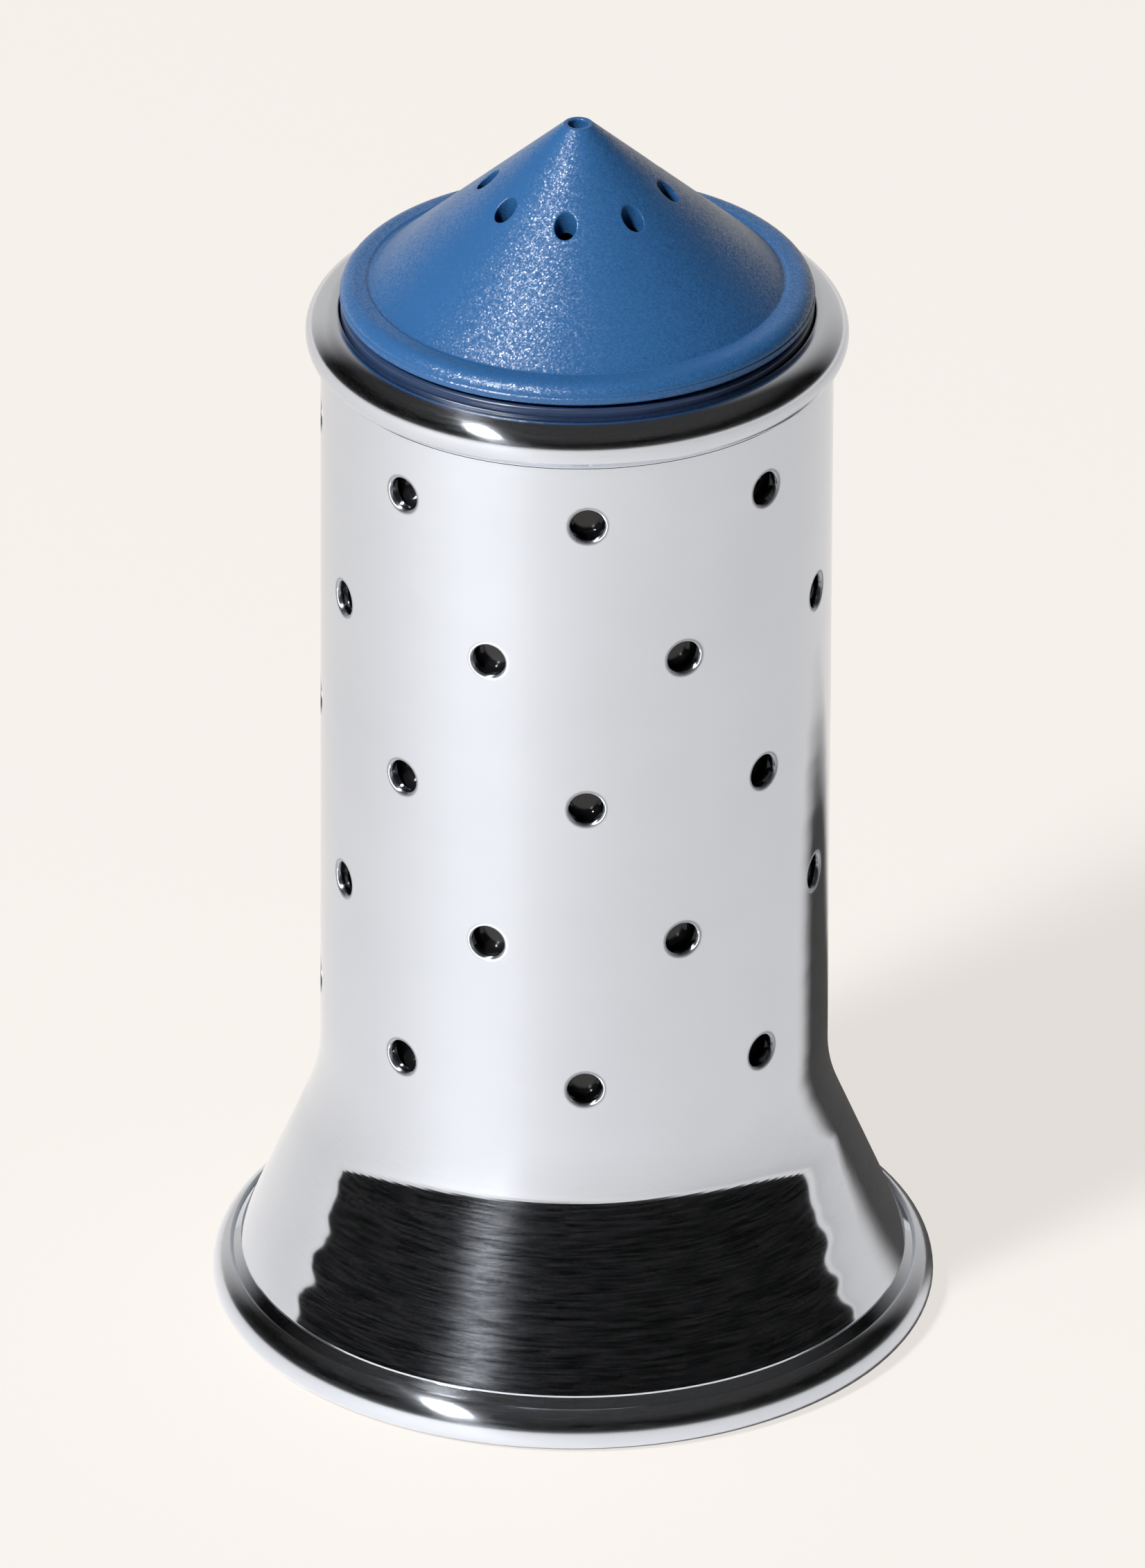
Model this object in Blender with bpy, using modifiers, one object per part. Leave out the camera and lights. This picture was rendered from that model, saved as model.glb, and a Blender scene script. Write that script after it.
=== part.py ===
"""Salt shaker for the table: a pierced steel sleeve with a rolled rim and a flared foot, a black salt cup
inside it, a blue collar in the mouth, and a blue cone lid with a seal ring on its plug.

Metres, +Z up. The origin is the middle of the foot, on the surface that the shaker stands on.
"""

import math

import bmesh
import bpy
from mathutils import Matrix

# Driving dimensions, in millimetres
TOTAL_HEIGHT = 100.0
FIT_GAP = 0.3
SEGMENTS = 48

# Steel sleeve
SHEET = 1.0
SLEEVE_R = 19.5
RIM_R = 20.65
RIM_EQUATOR_Z = 82.25
RIM_TOP_Z = 84.3
RIM_CREASE_Z = 80.9
MOUTH_R = 18.3
FLARE_FILLET = 10.0
FLARE_ANGLE = math.radians(23.3)
FOOT_SEAM_R = 25.55
FOOT_SEAM_Z = 4.1
FOOT_R = 27.8
FOOT_EQUATOR_Z = 1.1
FOOT_FLAT_WIDTH = 1.0

# Holes of the sleeve
HOLE_R = 1.35
HOLE_ROWS = 5
HOLES_A_ROW = 8
HOLE_TOP_ROW_Z = 75.74
HOLE_PITCH = 12.12
HOLE_SIDES = 16
HOLE_CUT = 3.0

# Salt cup
CUP_WALL = 1.2
CUP_TOP_Z = 83.4
CUP_BASE_Z = 15.0
CUP_FLOOR = 1.4
CUP_DRAFT = 0.2
CUP_BASE_ROUND = 2.0
CUP_FOOT_WIDTH = 1.6
CUP_RECESS = 0.7
SNAP_BEAD_R = 19.05

# Collar ring
COLLAR_R = 18.0
COLLAR_TOP_Z = 84.95
COLLAR_FLANGE = 1.25
COLLAR_SKIRT_Z = 76.0
COLLAR_BORE_R = 15.7
COLLAR_EDGE = 0.3

# Cone lid
FLANGE_R = 18.05
FLANGE_TOP_Z = 86.8
FLANGE_CROWN = 1.25
FLANGE_EDGE = 0.25
CONE_BASE_R = 15.8
CONE_BASE_Z = 86.65
GROOVE_WIDTH = 0.3
TIP_R = 1.25
TIP_HOLE_R = 0.75
TIP_EDGE = 0.15
LID_WALL = 1.4
PLUG_R = 15.1
PLUG_BORE_R = 12.8
PLUG_END_Z = 77.0
PLUG_LEAD_IN = 0.5
LID_TURN = math.radians(-10.25)

# Holes of the lid
SPRINKLE_R = 0.83
SPRINKLE_CIRCLE_R = 6.85
SPRINKLE_HOLES = 8
SPRINKLE_SIDES = 14

# Seal ring
SEAL_WIRE_R = 0.7
SEAL_Z = 81.65
SEAL_CLEAR = 0.25
SEAL_SIDES = 8

# Units, steps of an arc, and the distance that closes a turned seam
MM = 0.001
QUARTER = math.pi / 2
FINE = 5
COARSE = 3
MERGE = 1e-5


def clear_scene():
    """Remove every object that the file starts with."""
    for leftover in list(bpy.data.objects):
        bpy.data.objects.remove(leftover, do_unlink=True)


def new_collection(name):
    """A collection under the scene."""
    collection = bpy.data.collections.new(name)
    bpy.context.scene.collection.children.link(collection)
    return collection


def principled(name, colour, roughness, metallic=0.0):
    """A plain material: base colour, roughness and metallic value."""
    material = bpy.data.materials.new(name)
    material.use_nodes = True
    shader = material.node_tree.nodes["Principled BSDF"]
    shader.inputs["Base Color"].default_value = (*colour, 1.0)
    shader.inputs["Roughness"].default_value = roughness
    shader.inputs["Metallic"].default_value = metallic
    return material


def arc(centre, radius, start, end, steps, height=None):
    """Points (r, z) from angle start to angle end about centre; height makes it an ellipse."""
    height = radius if height is None else height
    angles = [start + (end - start) * step / steps for step in range(steps + 1)]
    return [(centre[0] + radius * math.cos(a), centre[1] + height * math.sin(a)) for a in angles]


def add_object(name, mesh, collection):
    """An object of this mesh, in this collection only."""
    part = bpy.data.objects.new(name, mesh)
    collection.objects.link(part)
    return part


def turned(name, profile, collection, material, closed=True):
    """Turn a profile of (r, z) points round the Z axis. It runs down the outside, then up the inside."""
    points = [(r * MM, 0.0, z * MM) for r, z in profile]
    edges = [(i, i + 1) for i in range(len(points) - 1)]
    if closed:
        edges.append((len(points) - 1, 0))
    mesh = bpy.data.meshes.new(name)
    mesh.from_pydata(points, edges, [])
    mesh.materials.append(material)
    part = add_object(name, mesh, collection)
    screw = part.modifiers.new("Turn", "SCREW")
    screw.axis = "Z"
    screw.steps = SEGMENTS
    screw.render_steps = SEGMENTS
    screw.use_merge_vertices = True
    screw.merge_threshold = MERGE
    screw.use_smooth_shade = True
    return part


def rods(name, places, radius, length, sides, collection):
    """One cutter of separate round rods, each about the local Z axis of its matrix."""
    shape = bmesh.new()
    for place in places:
        bmesh.ops.create_cone(
            shape,
            cap_ends=True,
            segments=sides,
            radius1=radius * MM,
            radius2=radius * MM,
            depth=length * MM,
            matrix=place,
        )
    mesh = bpy.data.meshes.new(name)
    shape.to_mesh(mesh)
    shape.free()
    cutter = add_object(name, mesh, collection)
    cutter.hide_render = True
    cutter.display_type = "WIRE"
    return cutter


def cut(part, cutter):
    """Take the cutter's rods out of the part."""
    holes = part.modifiers.new("Holes", "BOOLEAN")
    holes.operation = "DIFFERENCE"
    holes.solver = "EXACT"
    holes.object = cutter


def sleeve_profile():
    """Sheet of even thickness: mouth edge, rolled rim, wall, flare and foot bead, then back up inside."""
    crown = RIM_TOP_Z - RIM_EQUATOR_Z
    crown_centre = (RIM_R - crown, RIM_EQUATOR_Z)
    crease = (SLEEVE_R, RIM_CREASE_Z)
    fillet_end_r = SLEEVE_R + FLARE_FILLET * (1 - math.cos(FLARE_ANGLE))
    fillet_end_z = FOOT_SEAM_Z + (FOOT_SEAM_R - fillet_end_r) / math.tan(FLARE_ANGLE)
    fillet_centre = (SLEEVE_R + FLARE_FILLET, fillet_end_z + FLARE_FILLET * math.sin(FLARE_ANGLE))
    flare_end = math.pi + FLARE_ANGLE
    seam = (FOOT_SEAM_R, FOOT_SEAM_Z)
    bead_width = FOOT_R - FOOT_SEAM_R
    bead_height = FOOT_SEAM_Z - FOOT_EQUATOR_Z
    bead_centre = (FOOT_SEAM_R, FOOT_EQUATOR_Z)
    tuck_centre = (FOOT_R - FOOT_EQUATOR_Z, FOOT_EQUATOR_Z)
    foot_edge_r = tuck_centre[0] - FOOT_FLAT_WIDTH

    outside = [(MOUTH_R, RIM_TOP_Z)]
    outside += arc(crown_centre, crown, QUARTER, 0.0, FINE)
    outside += arc((SLEEVE_R, RIM_EQUATOR_Z), RIM_R - SLEEVE_R, 0.0, -QUARTER, COARSE,
                   RIM_EQUATOR_Z - RIM_CREASE_Z)[1:]
    outside += arc(fillet_centre, FLARE_FILLET, math.pi, flare_end, COARSE)
    outside += arc(bead_centre, bead_width, QUARTER, 0.0, FINE, bead_height)
    outside += arc(tuck_centre, FOOT_EQUATOR_Z, 0.0, -QUARTER, COARSE)[1:]
    outside.append((foot_edge_r, 0.0))

    inside = [(foot_edge_r, SHEET), (tuck_centre[0], SHEET)]
    inside += arc(bead_centre, bead_width - SHEET, 0.0, QUARTER, COARSE, bead_height - SHEET)
    inside += arc(seam, SHEET, -QUARTER, FLARE_ANGLE - math.pi, COARSE)[1:]
    inside += arc(fillet_centre, FLARE_FILLET + SHEET, flare_end, math.pi, COARSE)
    inside += arc(crease, SHEET, math.pi, QUARTER, COARSE)
    inside += arc(crown_centre, crown - SHEET, 0.0, QUARTER, COARSE)
    inside.append((MOUTH_R, RIM_TOP_Z - SHEET))
    return outside + inside


def sleeve_hole_places():
    """Radial rods: alternate rows are turned half a step, so the holes lie in diamonds."""
    step = math.tau / HOLES_A_ROW
    lying = Matrix.Rotation(QUARTER, 4, "Y")
    middle_of_wall = Matrix.Translation(((SLEEVE_R - SHEET / 2) * MM, 0.0, 0.0))
    places = []
    for row in range(HOLE_ROWS):
        height = Matrix.Translation((0.0, 0.0, (HOLE_TOP_ROW_Z - row * HOLE_PITCH) * MM))
        for hole in range(HOLES_A_ROW):
            turn = Matrix.Rotation(step * (hole + (row % 2) / 2), 4, "Z")
            places.append(height @ turn @ middle_of_wall @ lying)
    return places


def cup_profile():
    """Drafted cup: plain lip, a snap bead that rests on the shoulder of the steel rim, wall, rounded base
    with a standing foot round a shallow recess, then the floor and the inner wall."""
    outer_r = SLEEVE_R - SHEET - FIT_GAP
    lip_r = MOUTH_R - FIT_GAP
    inner_r = outer_r - CUP_WALL
    base_r = outer_r - CUP_DRAFT
    foot_r = base_r - CUP_BASE_ROUND
    recess_r = foot_r - CUP_FOOT_WIDTH
    floor_z = CUP_BASE_Z + CUP_RECESS + CUP_FLOOR
    floor_round = CUP_BASE_ROUND - CUP_WALL / 2
    floor_r = inner_r - CUP_DRAFT - floor_round
    shoulder = (SLEEVE_R, RIM_CREASE_Z)
    shoulder_r = SHEET + FIT_GAP
    bead_low = math.acos((SNAP_BEAD_R - SLEEVE_R) / shoulder_r)

    outside = [(lip_r, CUP_TOP_Z), (lip_r, RIM_TOP_Z - SHEET - FIT_GAP)]
    outside += arc(shoulder, shoulder_r, bead_low, math.pi, COARSE)
    outside += arc((foot_r, CUP_BASE_Z + CUP_BASE_ROUND), CUP_BASE_ROUND, 0.0, -QUARTER, COARSE)
    outside += [(recess_r, CUP_BASE_Z), (recess_r - CUP_RECESS, CUP_BASE_Z + CUP_RECESS)]
    outside.append((0.0, CUP_BASE_Z + CUP_RECESS))
    inside = [(0.0, floor_z)]
    inside += arc((floor_r, floor_z + floor_round), floor_round, -QUARTER, 0.0, COARSE)
    inside.append((inner_r, CUP_TOP_Z))
    return outside + inside + outside[:1]


def collar_profile():
    """Flange over the cup's lip with a rounded edge, and a skirt down inside the cup with a lead-in."""
    skirt_r = SLEEVE_R - SHEET - FIT_GAP - CUP_WALL - FIT_GAP
    flange_z = COLLAR_TOP_Z - COLLAR_FLANGE
    edge_centre = (COLLAR_R - COLLAR_EDGE, COLLAR_TOP_Z - COLLAR_EDGE)
    outside = [(COLLAR_BORE_R + COLLAR_EDGE, COLLAR_TOP_Z)]
    outside += arc(edge_centre, COLLAR_EDGE, QUARTER, 0.0, COARSE)
    outside += [(COLLAR_R, flange_z), (skirt_r, flange_z)]
    outside += [(skirt_r, COLLAR_SKIRT_Z + COLLAR_EDGE), (skirt_r - COLLAR_EDGE, COLLAR_SKIRT_Z)]
    inside = [(COLLAR_BORE_R, COLLAR_SKIRT_Z), (COLLAR_BORE_R, COLLAR_TOP_Z - COLLAR_EDGE)]
    return outside + inside


def lid_profile():
    """Tip with its hole, cone, fine groove, round-edged flange, plug with the seal's groove, hollow inside."""
    slope = (TOTAL_HEIGHT - TIP_EDGE - CONE_BASE_Z) / (CONE_BASE_R - TIP_R)
    drop = LID_WALL * math.hypot(1.0, slope)
    flange_z = COLLAR_TOP_Z + FIT_GAP
    crown_centre = (FLANGE_R - FLANGE_CROWN, FLANGE_TOP_Z - FLANGE_CROWN)
    edge_centre = (FLANGE_R - FLANGE_EDGE, flange_z + FLANGE_EDGE)
    groove_r = COLLAR_BORE_R - SEAL_CLEAR - 2 * SEAL_WIRE_R - SEAL_CLEAR
    groove_half = SEAL_WIRE_R + SEAL_CLEAR

    def inner_cone_z(r):
        return CONE_BASE_Z + (CONE_BASE_R - r) * slope - drop

    outside = [(TIP_HOLE_R, TOTAL_HEIGHT - TIP_EDGE), (TIP_HOLE_R + TIP_EDGE, TOTAL_HEIGHT)]
    outside += [(TIP_R - TIP_EDGE, TOTAL_HEIGHT), (TIP_R, TOTAL_HEIGHT - TIP_EDGE)]
    outside += [(CONE_BASE_R, CONE_BASE_Z), (CONE_BASE_R + GROOVE_WIDTH, FLANGE_TOP_Z)]
    outside += arc(crown_centre, FLANGE_CROWN, QUARTER, 0.0, FINE)
    outside += arc(edge_centre, FLANGE_EDGE, 0.0, -QUARTER, COARSE)
    outside += [(PLUG_R, flange_z), (PLUG_R, SEAL_Z + groove_half)]
    outside += [(groove_r, SEAL_Z + groove_half), (groove_r, SEAL_Z - groove_half)]
    outside += [(PLUG_R, SEAL_Z - groove_half), (PLUG_R, PLUG_END_Z + PLUG_LEAD_IN)]
    outside += [(PLUG_R - PLUG_LEAD_IN, PLUG_END_Z), (PLUG_BORE_R, PLUG_END_Z)]
    inside = [(PLUG_BORE_R, inner_cone_z(PLUG_BORE_R)), (TIP_HOLE_R, inner_cone_z(TIP_HOLE_R))]
    return outside + inside


def sprinkle_places():
    """Upright rods through the cone, along the way that the mould opens."""
    step = math.tau / SPRINKLE_HOLES
    middle_z = (CONE_BASE_Z + TOTAL_HEIGHT) / 2
    out = Matrix.Translation((SPRINKLE_CIRCLE_R * MM, 0.0, middle_z * MM))
    return [Matrix.Rotation(step * hole, 4, "Z") @ out for hole in range(SPRINKLE_HOLES)]


def add_seal(collection, material):
    """Round ring in the groove of the plug."""
    bpy.ops.mesh.primitive_torus_add(
        major_radius=(COLLAR_BORE_R - SEAL_CLEAR - SEAL_WIRE_R) * MM,
        minor_radius=SEAL_WIRE_R * MM,
        major_segments=SEGMENTS,
        minor_segments=SEAL_SIDES,
        location=(0.0, 0.0, SEAL_Z * MM),
    )
    seal = bpy.context.object
    seal.name = "lid_seal"
    seal.data.name = "lid_seal"
    for old in list(seal.users_collection):
        old.objects.unlink(seal)
    collection.objects.link(seal)
    seal.data.materials.append(material)
    seal.data.shade_smooth()
    return seal


def main():
    clear_scene()
    shaker = new_collection("salt_shaker")
    cutters = new_collection("cutters")
    steel = principled("polished_steel", (0.72, 0.72, 0.73), 0.12, 1.0)
    lid_blue = principled("blue_moulding", (0.045, 0.165, 0.38), 0.5)
    collar_blue = principled("dark_blue_moulding", (0.03, 0.08, 0.22), 0.5)
    black = principled("black_moulding", (0.008, 0.008, 0.009), 0.15)
    rubber = principled("black_rubber", (0.02, 0.02, 0.02), 0.7)

    sleeve = turned("steel_sleeve", sleeve_profile(), shaker, steel)
    cut(sleeve, rods("sleeve_holes", sleeve_hole_places(), HOLE_R, HOLE_CUT, HOLE_SIDES, cutters))
    turned("salt_cup", cup_profile(), shaker, black, closed=False)
    turned("collar_ring", collar_profile(), shaker, collar_blue)

    lid_axis = bpy.data.objects.new("lid_axis", None)
    lid_axis.location = (0.0, 0.0, (COLLAR_TOP_Z + FIT_GAP) * MM)
    lid_axis.rotation_euler = (0.0, 0.0, LID_TURN)
    shaker.objects.link(lid_axis)
    bpy.context.view_layer.update()

    lid = turned("cone_lid", lid_profile(), shaker, lid_blue)
    sprinkle_length = TOTAL_HEIGHT - CONE_BASE_Z
    cut(lid, rods("lid_holes", sprinkle_places(), SPRINKLE_R, sprinkle_length, SPRINKLE_SIDES, cutters))
    seal = add_seal(shaker, rubber)
    for piece in (lid, seal, bpy.data.objects["lid_holes"]):
        piece.parent = lid_axis
        piece.matrix_parent_inverse = Matrix.Translation(-lid_axis.location)


main()
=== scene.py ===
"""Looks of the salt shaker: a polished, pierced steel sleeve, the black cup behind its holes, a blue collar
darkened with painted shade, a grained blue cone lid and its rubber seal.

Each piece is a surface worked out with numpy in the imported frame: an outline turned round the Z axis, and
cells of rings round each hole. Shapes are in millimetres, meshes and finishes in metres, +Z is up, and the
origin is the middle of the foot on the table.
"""

import math

import bmesh
import bpy
import numpy as np
from mathutils import Matrix, Vector


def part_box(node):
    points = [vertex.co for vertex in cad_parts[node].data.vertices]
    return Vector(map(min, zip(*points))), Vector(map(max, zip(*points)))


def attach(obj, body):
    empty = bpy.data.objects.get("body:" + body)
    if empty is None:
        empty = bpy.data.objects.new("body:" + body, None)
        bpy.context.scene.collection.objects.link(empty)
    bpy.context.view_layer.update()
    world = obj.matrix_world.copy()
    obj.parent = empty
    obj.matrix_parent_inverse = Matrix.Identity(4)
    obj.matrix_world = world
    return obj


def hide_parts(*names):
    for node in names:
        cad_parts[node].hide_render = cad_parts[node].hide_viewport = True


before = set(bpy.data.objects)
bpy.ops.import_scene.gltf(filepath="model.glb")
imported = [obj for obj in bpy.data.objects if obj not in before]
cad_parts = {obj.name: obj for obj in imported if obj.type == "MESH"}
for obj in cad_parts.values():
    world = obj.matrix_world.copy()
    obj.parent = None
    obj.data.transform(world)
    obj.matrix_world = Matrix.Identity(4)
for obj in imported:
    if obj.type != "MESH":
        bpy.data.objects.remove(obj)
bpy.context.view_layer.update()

# Units and the fineness of the surfaces
MM = 0.001
TAU = math.tau
QUARTER = math.pi / 2
STEPS = 128
EDGE_STEPS = 4
SAME_POINT = 1e-4
WELD = 1e-6
BRACE = 0.04
LONG_STRAIGHT = 4 * BRACE

# Steel sleeve, in millimetres
SHEET = 1.0
SLEEVE_R = 19.5
RIM_R = 20.65
RIM_TOP_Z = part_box("steel_sleeve")[1].z / MM
RIM_SHOULDER = 2.2
RIM_SIDE = 1.7
RIM_BREAK = math.radians(40.0)
RIM_EQUATOR_Z = RIM_TOP_Z - RIM_SHOULDER - (RIM_SIDE - RIM_SHOULDER) * math.sin(RIM_BREAK)
RIM_CREASE_Z = 80.9
RIM_CREASE_ROUND = 0.15
RIM_NECK = 0.025
RIM_NECK_Z = 80.68
RIM_NECK_SLOPE = 1.8
RIM_NECK_ROUNDS = (0.02, 0.03)
MOUTH_R = 18.15
MOUTH_ROUND = 0.06
MOUTH_UNDER_ROUND = 0.6 * MOUTH_ROUND
FLARE_FILLET = 16.0
FLARE_ANGLE = math.radians(22.9)
FOOT_SEAM_R = 25.62
FOOT_SEAM_Z = 3.93
SEAM_STEP = 0.15
SEAM_ROUND = 0.04
NICK_R = 26.38
NICK_Z = 3.12
NICK_WIDTH = 0.06
NICK_ROUND = NICK_WIDTH / 4
BEAD_R = 2.3
FOOT_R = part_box("steel_sleeve")[1].x / MM
FOOT_EQUATOR_Z = 1.22
FOOT_FLAT_WIDTH = 1.0

# Holes of the sleeve
HOLE_R = 1.35
HOLE_EDGE = 0.18
HOLE_ROWS = 5
HOLES_A_ROW = 8
HOLE_TOP_ROW_Z = 75.74
HOLE_PITCH = 12.12
CELL_HALF_HEIGHT = 4.5
CELL_SIDE_STEPS = 10
CELL_RINGS = (10, 5)
LIP_WIDTH = 0.25
MOUTH_LIP_WIDTH = 0.2

# Salt cup
FIT_GAP = 0.3
CUP_R = SLEEVE_R - SHEET - FIT_GAP
CUP_WALL = 1.2
CUP_TOP_Z = 83.4
CUP_LIP_ROUND = 0.25
CUP_BASE_Z = 15.0
CUP_FLOOR = 1.4
CUP_DRAFT = 0.2
CUP_BASE_ROUND = 2.0
CUP_FOOT_ROUND = 1.95
CUP_FOOT_WIDTH = 1.6
CUP_RECESS = 0.7
CUP_RECESS_EDGE = 0.2
SNAP_BEAD_R = 19.05

# Collar ring
COLLAR_R = 18.0
COLLAR_TOP_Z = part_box("collar_ring")[1].z / MM
COLLAR_FLANGE = 1.25
COLLAR_SKIRT_Z = 76.0
COLLAR_BORE_R = 15.7
COLLAR_EDGE = 0.3
COLLAR_UNDER_EDGE = 0.12
COLLAR_SKIRT_EDGE = 0.1
COLLAR_BORE_EDGE = 0.15

# Cone lid
TIP_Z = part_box("cone_lid")[1].z / MM
TIP_R = 1.25
TIP_HOLE_R = 0.75
TIP_EDGE = 0.15
TIP_SIDE_EDGE = 0.12
TIP_UNDER_EDGE = 0.2
CONE_BASE_R = 15.8
CONE_BASE_Z = 86.65
CONE_BASE_ROUND = 0.25
GROOVE_WIDTH = 0.3
GROOVE_ROUND = 0.1
FLANGE_R = 18.05
FLANGE_TOP_Z = 86.8
FLANGE_CROWN = 1.25
FLANGE_EDGE = 0.15
FLANGE_NICK_Z = 85.85
FLANGE_NICK = 0.12
FLANGE_NICK_ROUND = 0.06
LID_WALL = 1.4
LID_HOLLOW_ROUND = 0.5
PLUG_R = 15.1
PLUG_BORE_R = 12.8
PLUG_END_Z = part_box("cone_lid")[0].z / MM
PLUG_LEAD_IN = 0.5
PLUG_EDGE = 0.2
PLUG_ROOT_ROUND = 0.15
LID_TURN = math.radians(-10.25)

# Holes of the lid
SPRINKLE_R = 0.83
SPRINKLE_EDGE = 0.12
SPRINKLE_CIRCLE_R = 6.85
SPRINKLE_HOLES = 8
SPRINKLE_CELL = 2.2
SPRINKLE_SIDE_STEPS = 8
SPRINKLE_RINGS = (8, 5)

# Seal ring and its groove
SEAL_WIRE_R = 0.7
SEAL_CLEAR = 0.25
SEAL_Z = 81.65
SEAL_SIDES = 24
SEAL_GROOVE_EDGE = 0.1

# Finish of the steel, with heights and sizes in metres and patterns in waves a metre
STEEL_GREYS = ((0.64, 0.677, 0.745), (0.70, 0.737, 0.808))
STEEL_CLOUD = 90.0
STEEL_ROUGHNESS = 0.03
EDGE_ROUGHNESS = 0.115
LIP_ROUGHNESS = 0.45
BEAD_TOP_Z = (0.0031, 0.0034)
RIM_START_Z = (0.0795, 0.0808)
STEEL_WAVE = 0.8e-4
STEEL_WAVES = (45.0, 45.0, 240.0)
STEEL_WAVE_DETAIL = 1.0
STEEL_GRAIN_TURN = 0.270
HAIR_ROUGHNESS = 0.41
HAIR_SPECK = 2e-6
HAIR_LINES = (320.0, 320.0, 6200.0)
HAIR_SPAN = (0.35, 0.65)
HAIR_DENSITY = (0.020, 0.066)
HAIR_WALL = 0.35
HAIR_FLARE_Z = (0.016, 0.026)

# Finishes of the plastics and the rubber
NOISE_SPAN = (0.3, 0.7)
PLASTIC_GLOSS = 0.5
LID_BLUES = ((0.024, 0.104, 0.268), (0.029, 0.116, 0.292))
LID_CLOUD = 300.0
# Darker blue inside the lid's holes: painted shade in the recesses
HOLE_SHADE_BLUE = (0.018, 0.080, 0.210)
HOLE_GLOSS = 0.03
GRAIN_SCALE = 8500.0
GRAIN_TILT = 0.26
GRAIN_ROUGHNESS = (0.35, 0.31)
# The collar's blue, darker than the lid's: painted shade from under the lid's flange
COLLAR_SHADE_BLUES = ((0.019, 0.036, 0.086), (0.024, 0.046, 0.104))
COLLAR_CLOUD = 400.0
COLLAR_MARKS = (300.0, 300.0, 6000.0)
COLLAR_ROUGHNESS = (0.25, 0.42)
COLLAR_RELIEF = 1.5e-5
CUP_BLACKS = ((0.006, 0.006, 0.007), (0.011, 0.011, 0.012))
CUP_PEEL = 500.0
CUP_ROUGHNESS = (0.1, 0.2)
CUP_RELIEF = 1e-5
RUBBER_BLACKS = ((0.012, 0.012, 0.012), (0.03, 0.03, 0.031))
RUBBER_BLOOM = 1500.0
RUBBER_BLOOM_DETAIL = 3.0
RUBBER_ROUGHNESS = (0.6, 0.8)
RUBBER_RELIEF = 2e-5
RUBBER_GLOSS = 0.3

# Camera, read off the photograph
IMAGE_SIZE = (1652, 2262)
SENSOR = 36.0
VIEW_ELEVATION = math.radians(28.03)
VIEW_AZIMUTH = math.radians(2.52)
VIEW_ROLL = math.radians(0.268)
VIEW_DISTANCE = 2340.0
VIEW_REACH = 20.0
PIXELS_A_MM = 18.881
AIM_Z = 51.5
AIM_PIXEL = (830.5, 994.0)

# Stage, turned with the camera: floor and key light in metres, surroundings by the parts of a unit heading
FLOOR_HALF = 3.0
FLOOR_CREAM = (0.939, 0.896, 0.847, 1.0)
FLOOR_SEEN = 0.8
FLOOR_MIRRORED = (0.02, 0.95)
FLOOR_FAR = (0.3, 0.7)
FLOOR_ROUGHNESS = 0.72
FLOOR_IOR = 1.9
FLOOR_GLOSS = 1.0
KEY_DIRECTION = (-0.505, -0.467, 0.725)
KEY_DISTANCE = 3.2
KEY_SIZE = (0.45, 0.5)
KEY_POWER = 137.0
ROOM_LIGHT = (0.0015, 0.05)
CEILING_SPAN = (0.45, 0.85)
BACKDROP_LIGHT = 0.75
BACKDROP_LEFT_SPAN = (0.55, 0.9)
BACKDROP_RIGHT_SPAN = (0.45, 1.0)
BACKDROP_SIDES = (-0.2, 0.2)
BACKDROP_TOP_SPAN = (0.4, 0.7)
BACKDROP_RISE = (0.0, 0.22)
BACKDROP_RISE_SPAN = (0.0, 0.25)


def arc(centre, radius, start, end, steps, height=None):
    """Points (r, z) = centre + (radius cos a, height sin a) at even angles a.

    On a circle the height is the radius.
    """
    angle = np.linspace(start, end, steps + 1)
    height = radius if height is None else height
    return np.column_stack([centre[0] + radius * np.cos(angle), centre[1] + height * np.sin(angle)])


def joined(*stretches):
    """One outline of several stretches of (r, z) points, less each point that repeats the one before."""
    points = np.vstack([np.atleast_2d(np.asarray(stretch, float)) for stretch in stretches])
    step = np.linalg.norm(np.diff(points, axis=0), axis=1)
    return points[np.concatenate([[True], step > SAME_POINT])]


def rounded(corners, radii, steps=EDGE_STEPS):
    """Outline through corners (r, z), with each corner but the two ends turned into an arc.

    At a corner P with unit directions a and b along its sides and half angle w between them, the arc
    touches the sides radius / tan w away from P, and its centre lies radius / sin w away along a + b.
    """
    corners = np.asarray(corners, float)
    radii = np.asarray(radii, float)[:, None]
    middle = corners[1:-1]
    a = corners[:-2] - middle
    b = corners[2:] - middle
    a /= np.linalg.norm(a, axis=1, keepdims=True)
    b /= np.linalg.norm(b, axis=1, keepdims=True)
    half = np.arccos(np.clip((a * b).sum(axis=1, keepdims=True), -1, 1)) / 2
    inward = (a + b) / np.linalg.norm(a + b, axis=1, keepdims=True)
    centre = middle + inward * radii / np.sin(half)
    first = middle + a * radii / np.tan(half) - centre
    last = middle + b * radii / np.tan(half) - centre
    sweep = math.pi - 2 * half
    share = np.linspace(0, 1, steps + 1)[:, None, None]
    curve = (np.sin((1 - share) * sweep) * first + np.sin(share * sweep) * last) / np.sin(sweep)
    return joined(corners[0], (centre + curve).swapaxes(0, 1).reshape(-1, 2), corners[-1])


def braced(outline):
    """The outline with a point near each end of its long straights, which keeps their shading flat."""
    start, end = outline[:-1], outline[1:]
    length = np.linalg.norm(end - start, axis=1, keepdims=True)
    share = np.where(length > LONG_STRAIGHT, BRACE / length, 0.0)
    near_start = start + (end - start) * share
    near_end = end - (end - start) * share
    points = np.stack([start, near_start, near_end], axis=1).reshape(-1, 2)
    return joined(points, outline[-1])


def turned(outline):
    """Point (i, j) is outline point i at the angle 2 pi j / steps: (r cos, r sin, z)."""
    angle = TAU * np.arange(STEPS) / STEPS
    r, z = outline[:, :1], outline[:, 1:]
    return np.stack([r * np.cos(angle), r * np.sin(angle), z + 0 * angle], axis=-1)


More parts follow.
